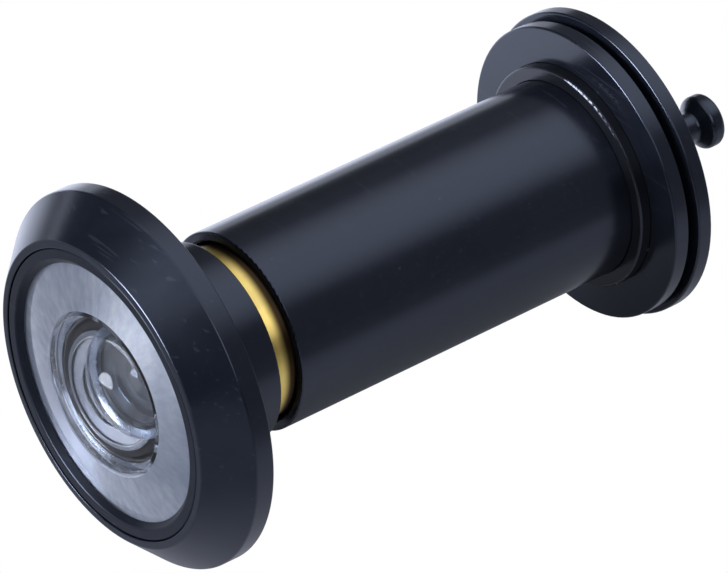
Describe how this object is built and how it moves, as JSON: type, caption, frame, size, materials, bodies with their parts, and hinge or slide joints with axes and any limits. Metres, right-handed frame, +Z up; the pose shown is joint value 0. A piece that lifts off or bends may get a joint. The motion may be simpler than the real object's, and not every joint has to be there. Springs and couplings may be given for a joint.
{
  "type": "door viewer",
  "caption": "Round door viewer for a door hole: a bevelled outside flange with a domed lens, a brass lens tube, a screw-on inside sleeve with a flange, and a swinging cover with a knob.",
  "frame": {"origin": "on the optical axis, in the back face of the outside flange, where it rests on the door's outer face", "axes": "+Y along the optical axis towards the room, -Y out of the door, +Z up"},
  "size_m": [0.0264, 0.0473, 0.0264],
  "materials": {
    "black_metal": "satin black coating, slightly blue",
    "black_bezel": "smooth black coating, a little glossier than the flange",
    "black_nylon": "polished black nylon",
    "matt_black": "matt black anodised",
    "bright_ring": "finely turned, bright",
    "bright_cell": "turned and polished",
    "brass": "turned, bright",
    "spring_steel": "plain spring steel",
    "rubber": "matt black",
    "front_glass": "polished, clear",
    "inner_glass": "polished, coated"
  },
  "bodies": {
    "outside_half": {"front_housing": "black_metal", "bezel_ring": "black_bezel", "lens_seal": "rubber", "objective_lens": "front_glass", "reflector_ring": "bright_ring", "lens_cell": "bright_cell", "second_lens": "inner_glass", "spacer_ring": "matt_black", "third_lens": "inner_glass", "spacer_tube": "matt_black", "field_lens": "inner_glass", "tube_ring": "matt_black", "lens_tube": "brass"},
    "centring_ring": {"centring_ring": "black_nylon"},
    "inside_half": {"sleeve": "black_metal", "rear_flange": "black_metal", "eyepiece_lens": "inner_glass", "eyepiece_ring": "matt_black", "pivot_rivet": "black_metal", "spring_washer": "spring_steel"},
    "cover": {"privacy_cover": "black_metal", "cover_knob": "black_metal"}
  },
  "joints": [
    {"name": "adjust_slide", "type": "slide", "parent": "outside_half", "child": "centring_ring", "axis": [0, 1, 0], "range_m": [-0.0015, 0.0175]},
    {"name": "adjust_turn", "type": "hinge", "parent": "centring_ring", "child": "inside_half", "pos_m": [0, 0.03565, 0], "axis": [0, 1, 0], "range_deg": [-540, 6300]},
    {"name": "cover_swing", "type": "hinge", "parent": "inside_half", "child": "cover", "pos_m": [-0.00682, 0.03735, -0.00572], "axis": [0, 1, 0], "continuous": true}
  ],
  "couplings": [
    {"joint": "adjust_slide", "follows": "adjust_turn", "m_per_rad": 0.00015915}
  ]
}
